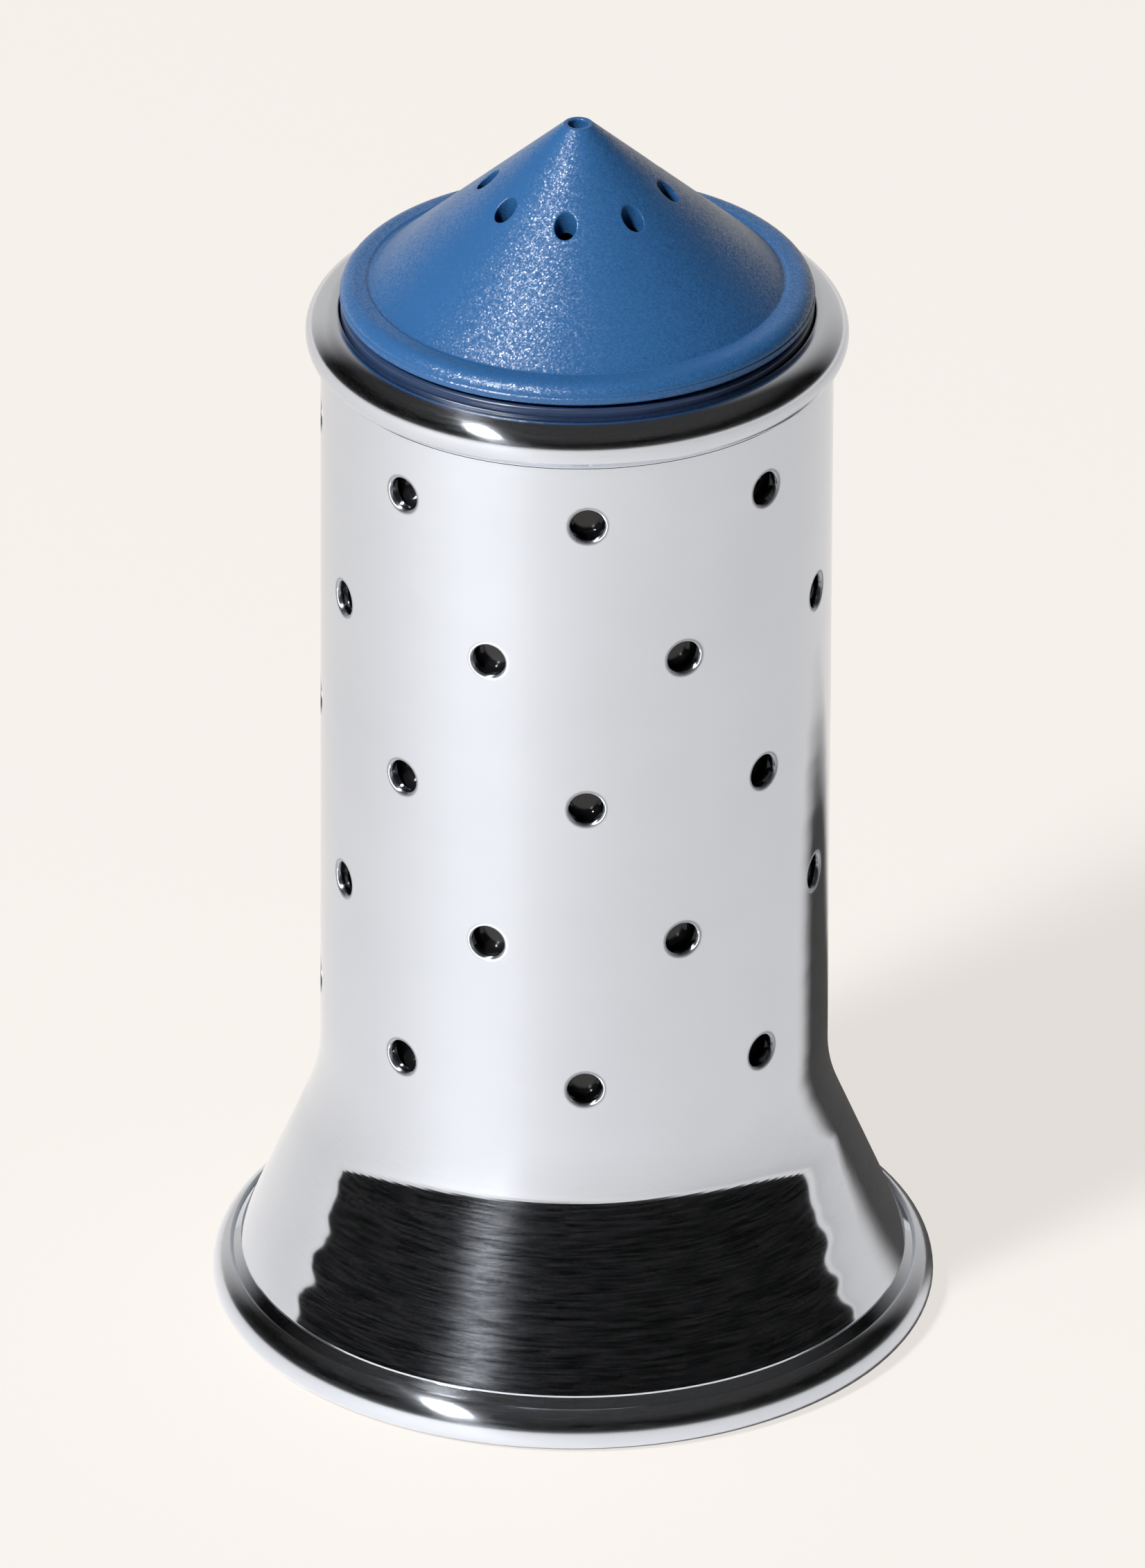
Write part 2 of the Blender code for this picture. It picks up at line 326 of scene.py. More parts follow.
def hole_rings(radius, edge, thickness, near_steps, far_steps):
    """Rings round a hole, from the border of its cell through the sheet to the border on the far side.

    Columns: share of the way from the border to the hole, radius of the hole there, depth in the sheet. On
    the faces the share is 1 - s^2 for s from 1 to 0, so rings crowd at the hole. Its two edges are quarter
    rounds.
    """
    wide = radius + edge
    near = 1 - np.linspace(1, 0, near_steps + 1) ** 2
    far = 1 - np.linspace(0, 1, far_steps + 1) ** 2
    bend = np.linspace(0, QUARTER, EDGE_STEPS + 1)
    ones = np.ones(EDGE_STEPS + 1)
    face = np.column_stack([near, 0 * near + wide, 0 * near])
    round_in = np.column_stack([ones, wide - edge * np.sin(bend), edge * (1 - np.cos(bend))])
    wall = [[1.0, radius, thickness / 2]]
    round_out = np.column_stack([ones, wide - edge * np.cos(bend), thickness - edge * (1 - np.sin(bend))])
    back = np.column_stack([far, 0 * far + wide, 0 * far + thickness])
    return np.vstack([face, round_in[1:], wall, round_out, back[1:]])


def cell_border(across, up):
    """Once round a square from -1 to 1, clockwise from its upper left: places to the right and up."""
    top = np.linspace(-1, 1, across + 1)[:-1]
    side = np.linspace(1, -1, up + 1)[:-1]
    right = np.concatenate([top, np.ones(up), -top, -np.ones(up)])
    rise = np.concatenate([np.ones(across), side, -np.ones(across), -side])
    return right, rise


def sleeve_cell(turn, height):
    """Wall round one hole. A ring point blends the border of the cell with the hole's circle.

    With share t: angle = (1 - t) border angle + t asin(R cos q / rho), and height alike with R sin q, where
    q is the direction of the border point and rho = sleeve radius - depth. Returns the points and how far
    each one belongs to the hole's rubbed lip.
    """
    half_angle = math.pi / HOLES_A_ROW
    right, rise = cell_border(STEPS // HOLES_A_ROW, CELL_SIDE_STEPS)
    direction = np.arctan2(rise * CELL_HALF_HEIGHT, right * half_angle * SLEEVE_R)
    share, radius, depth = hole_rings(HOLE_R, HOLE_EDGE, SHEET, *CELL_RINGS).T[:, :, None]
    rho = SLEEVE_R - depth
    angle = (1 - share) * right * half_angle + share * np.arcsin(radius * np.cos(direction) / rho)
    z = (1 - share) * rise * CELL_HALF_HEIGHT + share * radius * np.sin(direction)
    from_lip = np.hypot(angle * rho, z) - HOLE_R - HOLE_EDGE
    lip = np.clip(1 - from_lip / LIP_WIDTH, 0, 1) * (depth < SHEET / 2)
    rho = rho + 0 * angle
    return np.stack([rho * np.cos(angle + turn), rho * np.sin(angle + turn), z + height], axis=-1), lip


def cone_z(r):
    """Height of the lid's cone at radius r: a straight line from the tip to the groove at its base."""
    slope = (TIP_Z - TIP_EDGE - CONE_BASE_Z) / (CONE_BASE_R - TIP_R)
    return CONE_BASE_Z + (CONE_BASE_R - r) * slope


def cone_drop():
    """Upright thickness of the lid's wall: the wall over the cosine of the cone's slope."""
    return LID_WALL * math.hypot(1.0, cone_z(0.0) - cone_z(1.0))


def lid_cell(turn):
    """Cone round one upright hole. In plan, a ring point blends the cell's border with the hole's circle.

    With share t: radius and angle from the axis are (1 - t) border + t circle, and the height is the cone's
    at that radius less the depth. Up the cell is inwards, towards the tip. Returns the points and how far
    each one lies in the hole.
    """
    half_angle = math.pi / SPRINKLE_HOLES
    right, rise = cell_border(STEPS // SPRINKLE_HOLES, SPRINKLE_SIDE_STEPS)
    direction = np.arctan2(rise * SPRINKLE_CELL, right * half_angle * SPRINKLE_CIRCLE_R)
    share, radius, depth = hole_rings(SPRINKLE_R, SPRINKLE_EDGE, cone_drop(), *SPRINKLE_RINGS).T[:, :, None]
    x = SPRINKLE_CIRCLE_R - radius * np.sin(direction)
    y = radius * np.cos(direction)
    r = (1 - share) * (SPRINKLE_CIRCLE_R - rise * SPRINKLE_CELL) + share * np.hypot(x, y)
    angle = (1 - share) * right * half_angle + share * np.arctan2(y, x)
    points = np.stack([r * np.cos(angle + turn), r * np.sin(angle + turn), cone_z(r) - depth], axis=-1)
    inside = np.clip(depth / SPRINKLE_EDGE, 0, 1) + 0 * angle
    return points, inside


def grid_faces(rows, columns):
    """Quads (i, j), (i+1, j), (i+1, j+1), (i, j+1) of a grid whose columns close up round a ring."""
    i, j = np.meshgrid(np.arange(rows - 1), np.arange(columns), indexing="ij")
    here = i * columns + j
    beside = i * columns + (j + 1) % columns
    return np.stack([here, here + columns, beside + columns, beside], axis=-1).reshape(-1, 4)


def add_piece(name, grids, finish, edges=None, turn=0.0):
    """One closed piece of several grids of points, welded where they meet, turned round Z, shaded smooth.

    Edges are a share for each point, kept as the attribute "edge": lips of the steel, holes of the lid.
    """
    counts = np.cumsum([0] + [grid.shape[0] * grid.shape[1] for grid in grids])
    points = np.vstack([grid.reshape(-1, 3) for grid in grids]) * MM
    faces = np.vstack([grid_faces(*grid.shape[:2]) + start for grid, start in zip(grids, counts)])
    spin = np.array(Matrix.Rotation(turn, 3, "Z"))
    mesh = bpy.data.meshes.new(name)
    mesh.from_pydata(points @ spin.T, [], faces)
    if edges is not None:
        edge = mesh.attributes.new("edge", "FLOAT", "POINT")
        edge.data.foreach_set("value", np.concatenate([share.ravel() for share in edges]))
    shape = bmesh.new()
    shape.from_mesh(mesh)
    bmesh.ops.remove_doubles(shape, verts=shape.verts, dist=WELD)
    shape.to_mesh(mesh)
    shape.free()
    mesh.shade_smooth()
    mesh.materials.append(finish)
    piece = bpy.data.objects.new(name, mesh)
    bpy.context.scene.collection.objects.link(piece)
    return piece


def rim_outline(low_z):
    """From low_z inside the wall up under the rim, round the mouth and over the crown to low_z outside.

    The crown is two arcs that share a tangent: a wide shoulder above and a tighter side below. Under it a
    crease meets the wall in a fine neck line.
    """
    side_centre = np.array((RIM_R - RIM_SIDE, RIM_EQUATOR_Z))
    lean = np.array((math.cos(RIM_BREAK), math.sin(RIM_BREAK)))
    shoulder_centre = side_centre + (RIM_SIDE - RIM_SHOULDER) * lean
    inside = joined((SLEEVE_R - SHEET, low_z),
                    arc((SLEEVE_R, RIM_CREASE_Z), SHEET, math.pi, QUARTER, steps=6),
                    arc(side_centre, RIM_SIDE - SHEET, 0.0, RIM_BREAK, steps=8),
                    arc(shoulder_centre, RIM_SHOULDER - SHEET, RIM_BREAK, QUARTER, steps=8))
    mouth = rounded([inside[-1], (MOUTH_R, RIM_TOP_Z - SHEET), (MOUTH_R, RIM_TOP_Z),
                     (shoulder_centre[0], RIM_TOP_Z)], [MOUTH_UNDER_ROUND, MOUTH_ROUND], steps=5)
    width = RIM_R - SLEEVE_R
    height = RIM_EQUATOR_Z - RIM_CREASE_Z
    under_end = -math.acos((RIM_CREASE_ROUND - RIM_NECK) / width)
    under = arc((SLEEVE_R, RIM_EQUATOR_Z), width, 0.0, under_end, steps=14, height=height)
    crease_centre = under[-1] + (0.0, -RIM_CREASE_ROUND)
    neck_r = SLEEVE_R - RIM_NECK
    neck = rounded([(neck_r, RIM_CREASE_Z - RIM_CREASE_ROUND), (neck_r, RIM_NECK_Z),
                    (SLEEVE_R, RIM_NECK_Z - RIM_NECK_SLOPE * RIM_NECK), (SLEEVE_R, low_z)],
                   RIM_NECK_ROUNDS, steps=3)
    return joined(inside, mouth,
                  arc(shoulder_centre, RIM_SHOULDER, QUARTER, RIM_BREAK, steps=12),
                  arc(side_centre, RIM_SIDE, RIM_BREAK, 0.0, steps=14), under,
                  arc(crease_centre, RIM_CREASE_ROUND, QUARTER, math.pi, steps=5), neck)


def foot_outline(high_z):
    """From high_z down the wall, fillet, flare, seam and foot bead to the table, and back up inside.

    The flare ends in a fine upright step, slopes into a nick, and the bead below it is a circle's arc.
    """
    fillet_end_r = SLEEVE_R + FLARE_FILLET * (1 - math.cos(FLARE_ANGLE))
    fillet_end_z = FOOT_SEAM_Z + (FOOT_SEAM_R - fillet_end_r) / math.tan(FLARE_ANGLE)
    fillet_centre = (SLEEVE_R + FLARE_FILLET, fillet_end_z + FLARE_FILLET * math.sin(FLARE_ANGLE))
    flare_end = math.pi + FLARE_ANGLE
    hollow_width = FOOT_R - FOOT_SEAM_R - SHEET
    hollow_height = FOOT_SEAM_Z - FOOT_EQUATOR_Z - SHEET
    bead_centre = (FOOT_R - BEAD_R, FOOT_EQUATOR_Z)
    bead_start = math.acos((NICK_R + NICK_WIDTH - bead_centre[0]) / BEAD_R)
    tuck_centre = (FOOT_R - FOOT_EQUATOR_Z, FOOT_EQUATOR_Z)
    foot_edge_r = tuck_centre[0] - FOOT_FLAT_WIDTH

    fillet = arc(fillet_centre, FLARE_FILLET, math.pi, flare_end, steps=28)
    bead = arc(bead_centre, BEAD_R, bead_start, 0.0, steps=32)
    seam = rounded([fillet[-1], (FOOT_SEAM_R, FOOT_SEAM_Z), (FOOT_SEAM_R, FOOT_SEAM_Z - SEAM_STEP),
                    (NICK_R, NICK_Z), bead[0]], [SEAM_ROUND, SEAM_ROUND, NICK_ROUND])
    tuck = arc(tuck_centre, FOOT_EQUATOR_Z, 0.0, -QUARTER, steps=12)
    hollow = arc((FOOT_SEAM_R, FOOT_EQUATOR_Z), hollow_width, 0.0, QUARTER, steps=8, height=hollow_height)
    inside = joined((foot_edge_r, 0.0), (foot_edge_r, SHEET), (tuck_centre[0], SHEET), hollow,
                    arc((FOOT_SEAM_R, FOOT_SEAM_Z), SHEET, -QUARTER, FLARE_ANGLE - math.pi, steps=5),
                    arc(fillet_centre, FLARE_FILLET + SHEET, flare_end, math.pi, steps=12),
                    (SLEEVE_R - SHEET, high_z))
    return joined((SLEEVE_R, high_z), fillet, seam, bead, tuck, inside)


def make_sleeve(finish):
    """Rim and foot are turned, each hole has its cell, and plain bands join the rows of cells.

    The rubbed lips are the holes' edges and the mouth's upper edge.
    """
    rows = HOLE_TOP_ROW_Z - HOLE_PITCH * np.arange(HOLE_ROWS)
    step = TAU / HOLES_A_ROW
    inner_r = SLEEVE_R - SHEET
    rim = turned(braced(rim_outline(rows[0] + CELL_HALF_HEIGHT)))
    grids = [rim, turned(braced(foot_outline(rows[-1] - CELL_HALF_HEIGHT)))]
    for upper, lower in zip(rows[:-1] - CELL_HALF_HEIGHT, rows[1:] + CELL_HALF_HEIGHT):
        grids.append(turned(np.array([(SLEEVE_R, upper), (SLEEVE_R, lower)])))
        grids.append(turned(np.array([(inner_r, lower), (inner_r, upper)])))
    lips = [np.zeros(grid.shape[:2]) for grid in grids]
    x, y, z = np.moveaxis(rim, -1, 0)
    from_mouth = np.hypot(x, y) - MOUTH_R
    lips[0] = np.clip(1 - from_mouth / MOUTH_LIP_WIDTH, 0, 1) * (z > RIM_TOP_Z - SHEET / 2)
    for row, height in enumerate(rows):
        for hole in range(HOLES_A_ROW):
            cell, lip = sleeve_cell(step * (hole + (row % 2) / 2), height)
            grids.append(cell)
            lips.append(lip)
    return add_piece("polished_sleeve", grids, finish, lips)


def make_cup(finish):
    """Drafted cup with a plain lip, a snap bead under the steel rim, a standing foot and a round floor."""
    lip_r = MOUTH_R - FIT_GAP
    inner_r = CUP_R - CUP_WALL
    base_r = CUP_R - CUP_DRAFT
    recess_r = base_r - CUP_BASE_ROUND - CUP_FOOT_WIDTH
    recess_z = CUP_BASE_Z + CUP_RECESS
    floor_z = recess_z + CUP_FLOOR
    floor_round = CUP_BASE_ROUND - CUP_WALL / 2
    floor_centre = (inner_r - CUP_DRAFT - floor_round, floor_z + floor_round)
    shoulder_r = SHEET + FIT_GAP
    bead_low = math.acos((SNAP_BEAD_R - SLEEVE_R) / shoulder_r)
    top = rounded([(inner_r, floor_z + CUP_BASE_ROUND), (inner_r, CUP_TOP_Z), (lip_r, CUP_TOP_Z),
                   (lip_r, RIM_TOP_Z - SHEET - FIT_GAP)], [CUP_LIP_ROUND, CUP_LIP_ROUND])
    snap_bead = arc((SLEEVE_R, RIM_CREASE_Z), shoulder_r, bead_low, math.pi, steps=8)
    foot = rounded([(base_r, CUP_BASE_Z + CUP_BASE_ROUND), (base_r, CUP_BASE_Z), (recess_r, CUP_BASE_Z),
                    (recess_r - CUP_RECESS, recess_z), (0.0, recess_z)],
                   [CUP_FOOT_ROUND, CUP_RECESS_EDGE, CUP_RECESS_EDGE])
    floor = arc(floor_centre, floor_round, -QUARTER, 0.0, steps=8)
    outline = joined(top, snap_bead, foot, (0.0, floor_z), floor, top[0])
    return add_piece("black_cup", [turned(braced(outline))], finish)


def make_collar(finish):
    """Flange over the cup's lip, with a rounded edge, and a skirt down inside the cup with a lead-in."""
    skirt_r = CUP_R - CUP_WALL - FIT_GAP
    flange_z = COLLAR_TOP_Z - COLLAR_FLANGE
    middle_z = (COLLAR_SKIRT_Z + flange_z) / 2
    corners = [(COLLAR_BORE_R, middle_z), (COLLAR_BORE_R, COLLAR_TOP_Z), (COLLAR_R, COLLAR_TOP_Z),
               (COLLAR_R, flange_z), (skirt_r, flange_z), (skirt_r, COLLAR_SKIRT_Z + COLLAR_EDGE),
               (skirt_r - COLLAR_EDGE, COLLAR_SKIRT_Z), (COLLAR_BORE_R, COLLAR_SKIRT_Z),
               (COLLAR_BORE_R, middle_z)]
    radii = [COLLAR_EDGE] * 2 + [COLLAR_UNDER_EDGE] + [COLLAR_SKIRT_EDGE] * 3 + [COLLAR_BORE_EDGE]
    return add_piece("blue_collar", [turned(braced(rounded(corners, radii)))], finish)


def tip_outline(border_r):
    """From border_r under the cone up through the tip's hole and over its edge to border_r outside."""
    drop = cone_drop()
    return rounded([(border_r, cone_z(border_r) - drop), (TIP_HOLE_R, cone_z(TIP_HOLE_R) - drop),
                    (TIP_HOLE_R, TIP_Z), (TIP_R - TIP_EDGE, TIP_Z), (TIP_R, TIP_Z - TIP_EDGE),
                    (border_r, cone_z(border_r))],
                   [TIP_UNDER_EDGE, TIP_EDGE, TIP_SIDE_EDGE, TIP_SIDE_EDGE])


def flange_outline(border_r):
    """From border_r down the cone, groove, nicked flange and plug with the seal's groove, and back inside.

    The flange's crown is a circle's arc that ends at the nick.
    """
    drop = cone_drop()
    under_z = COLLAR_TOP_Z + FIT_GAP
    crown_centre = (FLANGE_R - FLANGE_CROWN, FLANGE_TOP_Z - FLANGE_CROWN)
    crown_end = math.asin((FLANGE_NICK_Z + FLANGE_NICK - crown_centre[1]) / FLANGE_CROWN)
    groove_r = COLLAR_BORE_R - 2 * SEAL_CLEAR - 2 * SEAL_WIRE_R
    groove_half = SEAL_WIRE_R + SEAL_CLEAR
    cone = rounded([(border_r, cone_z(border_r)), (CONE_BASE_R, CONE_BASE_Z),
                    (CONE_BASE_R + GROOVE_WIDTH, FLANGE_TOP_Z), (crown_centre[0], FLANGE_TOP_Z)],
                   [CONE_BASE_ROUND, GROOVE_ROUND])
    crown = arc(crown_centre, FLANGE_CROWN, QUARTER, crown_end, steps=14)
    plug = rounded([crown[-1], (FLANGE_R - FLANGE_NICK, FLANGE_NICK_Z),
                    (FLANGE_R, FLANGE_NICK_Z - FLANGE_NICK), (FLANGE_R, under_z), (PLUG_R, under_z),
                    (PLUG_R, SEAL_Z + groove_half), (groove_r, SEAL_Z + groove_half),
                    (groove_r, SEAL_Z - groove_half), (PLUG_R, SEAL_Z - groove_half),
                    (PLUG_R, PLUG_END_Z + PLUG_LEAD_IN), (PLUG_R - PLUG_LEAD_IN, PLUG_END_Z),
                    (PLUG_BORE_R, PLUG_END_Z), (PLUG_BORE_R, cone_z(PLUG_BORE_R) - drop),
                    (border_r, cone_z(border_r) - drop)],
                   [FLANGE_NICK_ROUND] * 2 + [FLANGE_EDGE, PLUG_ROOT_ROUND] + [SEAL_GROOVE_EDGE] * 4
                   + [PLUG_EDGE] * 3 + [LID_HOLLOW_ROUND])
    return joined(cone, crown, plug)


def make_lid(finish):
    """Tip, flange and plug are turned, and each hole of the cone between them has its cell."""
    grids = [turned(braced(tip_outline(SPRINKLE_CIRCLE_R - SPRINKLE_CELL))),
             turned(braced(flange_outline(SPRINKLE_CIRCLE_R + SPRINKLE_CELL)))]
    step = TAU / SPRINKLE_HOLES
    holes = [np.zeros(grid.shape[:2]) for grid in grids]
    for hole in range(SPRINKLE_HOLES):
        cell, inside = lid_cell(step * hole)
        grids.append(cell)
        holes.append(inside)
    return add_piece("grained_lid", grids, finish, holes, LID_TURN)


def make_seal(finish):
    """Round ring: a circle of the wire's radius turned round the axis, in the groove of the plug."""
    centre_r = COLLAR_BORE_R - SEAL_CLEAR - SEAL_WIRE_R
    outline = arc((centre_r, SEAL_Z), SEAL_WIRE_R, TAU, 0.0, SEAL_SIDES)
    return add_piece("seal_ring", [turned(outline)], finish)


def add_node(tree, kind, values=None, links=None, **settings):
    """A shader node with its settings, constant inputs and links from other nodes' outputs."""
    made = tree.nodes.new(kind)
    for name, value in settings.items():
        setattr(made, name, value)
    for name, value in (values or {}).items():
        made.inputs[name].default_value = value
    for name, socket in (links or {}).items():
        tree.links.new(socket, made.inputs[name])
    return made


def new_finish(name, constants=None):
    """A material of one Principled shader with these constants, and the Object coordinates it reads."""
    finish = bpy.data.materials.new(name)
    finish.use_nodes = True
    tree = finish.node_tree
    shader = tree.nodes["Principled BSDF"]
    for socket, value in (constants or {}).items():
        shader.inputs[socket].default_value = value
    place = add_node(tree, "ShaderNodeTexCoord").outputs["Object"]
    return finish, tree, shader, place


def drive(tree, shader, sources):
    """Links other nodes' outputs to the shader's inputs of these names."""
    for name, socket in sources.items():
        tree.links.new(socket, shader.inputs[name])


def noise(tree, place, scale=1.0, detail=2.0, stretch=(1.0, 1.0, 1.0)):
    """Noise of about 1 / scale metres, its coordinates stretched along the axes first."""
    mapped = add_node(tree, "ShaderNodeMapping", {"Scale": stretch}, {"Vector": place})
    made = add_node(tree, "ShaderNodeTexNoise", {"Scale": scale, "Detail": detail},
                    {"Vector": mapped.outputs["Vector"]})
    return made.outputs["Fac"]


def mapped_range(tree, value, span, ends, kind="SMOOTHSTEP"):
    """The value taken from the span's two ends to the other two, and held there beyond them."""
    limits = {"From Min": span[0], "From Max": span[1], "To Min": ends[0], "To Max": ends[1]}
    made = add_node(tree, "ShaderNodeMapRange", limits, {"Value": value}, interpolation_type=kind)
    return made.outputs["Result"]


def math_node(tree, operation, *values):
    """Sockets or numbers put together by a Math node."""
    made = add_node(tree, "ShaderNodeMath", operation=operation)
    for index, value in enumerate(values):
        if isinstance(value, (int, float)):
            made.inputs[index].default_value = value
        else:
            tree.links.new(value, made.inputs[index])
    return made.outputs["Value"]


def colour_mix(tree, share, first, second):
    """A colour between two, each a constant or a socket, by a share from 0 to 1."""
    made = add_node(tree, "ShaderNodeMix", links={"Factor": share}, data_type="RGBA")
    ends = [socket for socket in made.inputs if socket.type == "RGBA"]
    for socket, colour in zip(ends, (first, second)):
        if isinstance(colour, tuple):
            socket.default_value = (*colour, 1.0)
        else:
            tree.links.new(colour, socket)
    return next(out for out in made.outputs if out.type == "RGBA")


def relief(tree, height, distance):
    """The normal of a surface whose height, from 0 to 1, stands for this distance in metres."""
    bump = add_node(tree, "ShaderNodeBump", {"Strength": 1.0, "Distance": distance}, {"Height": height})
    return bump.outputs["Normal"]


def edge_share(tree):
    """The piece's own attribute for its lips or holes."""
    return add_node(tree, "ShaderNodeAttribute", attribute_name="edge").outputs["Fac"]


def z_part(tree, vector):
    """The Z part of a place or a heading."""
    return add_node(tree, "ShaderNodeSeparateXYZ", links={0: vector}).outputs["Z"]


def hair_scratches(tree, place):
    """Where the steel is roughened by hair scratches, 1 or 0, speck by speck.

    A speck is rough where its chance number is under a density. The density drifts in fine lines round the
    axis, noise drawn out long in x and y and fine in z, and is lower on the wall than on the flare and rim.
    """
    cells = add_node(tree, "ShaderNodeVectorMath", {1: (1.0 / HAIR_SPECK,) * 3}, {0: place},
                     operation="MULTIPLY").outputs[0]
    speck = add_node(tree, "ShaderNodeVectorMath", links={0: cells}, operation="FLOOR").outputs[0]
    chance = add_node(tree, "ShaderNodeTexWhiteNoise", links={"Vector": speck}).outputs["Value"]
    strand = noise(tree, place, stretch=HAIR_LINES)
    density = mapped_range(tree, strand, HAIR_SPAN, HAIR_DENSITY, "LINEAR")
    height = z_part(tree, place)
    foot = mapped_range(tree, height, HAIR_FLARE_Z, (1.0, HAIR_WALL))
    rim = mapped_range(tree, height, RIM_START_Z, (HAIR_WALL, 1.0))
    worn = math_node(tree, "MAXIMUM", foot, rim)
    return math_node(tree, "LESS_THAN", chance, math_node(tree, "MULTIPLY", density, worn))


def polished_steel():
    """Steel, buffed round the axis: nearly a mirror, with hair scratches, slow waves and rubbed lips.

    The rim and the foot bead are a little duller. Each point takes the greatest roughness of these.
    """
    finish, tree, shader, place = new_finish("polished_steel", {
        "Metallic": 1.0, "Anisotropic": 1.0, "Anisotropic Rotation": STEEL_GRAIN_TURN})
    height = z_part(tree, place)
    bead = mapped_range(tree, height, BEAD_TOP_Z, (EDGE_ROUGHNESS, STEEL_ROUGHNESS))
    rim = mapped_range(tree, height, RIM_START_Z, (STEEL_ROUGHNESS, EDGE_ROUGHNESS))
    hair = math_node(tree, "MULTIPLY", hair_scratches(tree, place), HAIR_ROUGHNESS)
    lip = math_node(tree, "MULTIPLY", edge_share(tree), LIP_ROUGHNESS)
    rough = math_node(tree, "MAXIMUM", math_node(tree, "MAXIMUM", bead, rim), hair)
    cloud = noise(tree, place, STEEL_CLOUD)
    waves = noise(tree, place, detail=STEEL_WAVE_DETAIL, stretch=STEEL_WAVES)
    round_axis = add_node(tree, "ShaderNodeTangent", direction_type="RADIAL", axis="Z")
    drive(tree, shader, {"Base Color": colour_mix(tree, cloud, *STEEL_GREYS),
                         "Roughness": math_node(tree, "MAXIMUM", rough, lip),
                         "Normal": relief(tree, waves, STEEL_WAVE),
                         "Tangent": round_axis.outputs["Tangent"]})
    return finish


def grained_normal(tree, place):
    """Normal of a grain of small facets.

    It is the smooth normal plus a tilt: the facet's chance colour less a half, times a constant.
    """
    facet = add_node(tree, "ShaderNodeTexVoronoi", {"Scale": GRAIN_SCALE}, {"Vector": place})
    tilt = add_node(tree, "ShaderNodeVectorMath", {1: (0.5, 0.5, 0.5)}, {0: facet.outputs["Color"]},
                    operation="SUBTRACT")
    smooth = add_node(tree, "ShaderNodeNewGeometry").outputs["Normal"]
    facing = add_node(tree, "ShaderNodeVectorMath", {1: (GRAIN_TILT,) * 3},
                      {0: tilt.outputs[0], 2: smooth}, operation="MULTIPLY_ADD")
    unit = add_node(tree, "ShaderNodeVectorMath", links={0: facing.outputs[0]}, operation="NORMALIZE")
    return unit.outputs[0]


def grained_blue():
    """Blue moulded plastic with a fine spark-eroded grain that glints. In the holes it is less glossy and
    painted darker as shade.
    """
    finish, tree, shader, place = new_finish("grained_blue")
    cloud = noise(tree, place, LID_CLOUD)
    skin = colour_mix(tree, cloud, *LID_BLUES)
    hole = edge_share(tree)
    gloss = mapped_range(tree, hole, (0.0, 1.0), (PLASTIC_GLOSS, HOLE_GLOSS), "LINEAR")
    # Inside the holes the blue is painted darker: painted shade
    drive(tree, shader, {"Base Color": colour_mix(tree, hole, skin, HOLE_SHADE_BLUE),
                         "Specular IOR Level": gloss,
                         "Roughness": mapped_range(tree, cloud, NOISE_SPAN, GRAIN_ROUGHNESS, "LINEAR"),
                         "Normal": grained_normal(tree, place)})
    return finish


def shade_painted_blue():
    """Blue moulded plastic of the collar, darkened as painted shade from under the lid's flange, satin,
    with fine turning marks.
    """
    finish, tree, shader, place = new_finish("shade_painted_blue", {"Specular IOR Level": PLASTIC_GLOSS})
    cloud = noise(tree, place, COLLAR_CLOUD)
    marks = noise(tree, place, stretch=COLLAR_MARKS)
    drive(tree, shader, {"Base Color": colour_mix(tree, cloud, *COLLAR_SHADE_BLUES),
                         "Roughness": mapped_range(tree, marks, NOISE_SPAN, COLLAR_ROUGHNESS, "LINEAR"),
                         "Normal": relief(tree, marks, COLLAR_RELIEF)})
    return finish


def gloss_black():
    """Glossy black moulded plastic of the cup, with a faint orange peel."""
    finish, tree, shader, place = new_finish("gloss_black", {"Specular IOR Level": PLASTIC_GLOSS})
    peel = noise(tree, place, CUP_PEEL)
    drive(tree, shader, {"Base Color": colour_mix(tree, peel, *CUP_BLACKS),
                         "Roughness": mapped_range(tree, peel, NOISE_SPAN, CUP_ROUGHNESS, "LINEAR"),
                         "Normal": relief(tree, peel, CUP_RELIEF)})
    return finish


def black_rubber():
    """Matt black rubber of the seal, with a dusty bloom."""
    finish, tree, shader, place = new_finish("black_rubber", {"Specular IOR Level": RUBBER_GLOSS})
    bloom = noise(tree, place, RUBBER_BLOOM, RUBBER_BLOOM_DETAIL)
    drive(tree, shader, {"Base Color": colour_mix(tree, bloom, *RUBBER_BLACKS),
                         "Roughness": mapped_range(tree, bloom, NOISE_SPAN, RUBBER_ROUGHNESS, "LINEAR"),
                         "Normal": relief(tree, bloom, RUBBER_RELIEF)})
    return finish


def view_axes():
    """Unit vectors of the view: to the right, level away from the camera, and towards the camera."""
    away = Vector((math.sin(VIEW_AZIMUTH), math.cos(VIEW_AZIMUTH), 0.0))
    right = Vector((math.cos(VIEW_AZIMUTH), -math.sin(VIEW_AZIMUTH), 0.0))
    back = Vector((0.0, 0.0, math.sin(VIEW_ELEVATION))) - away * math.cos(VIEW_ELEVATION)
    return right, away, back


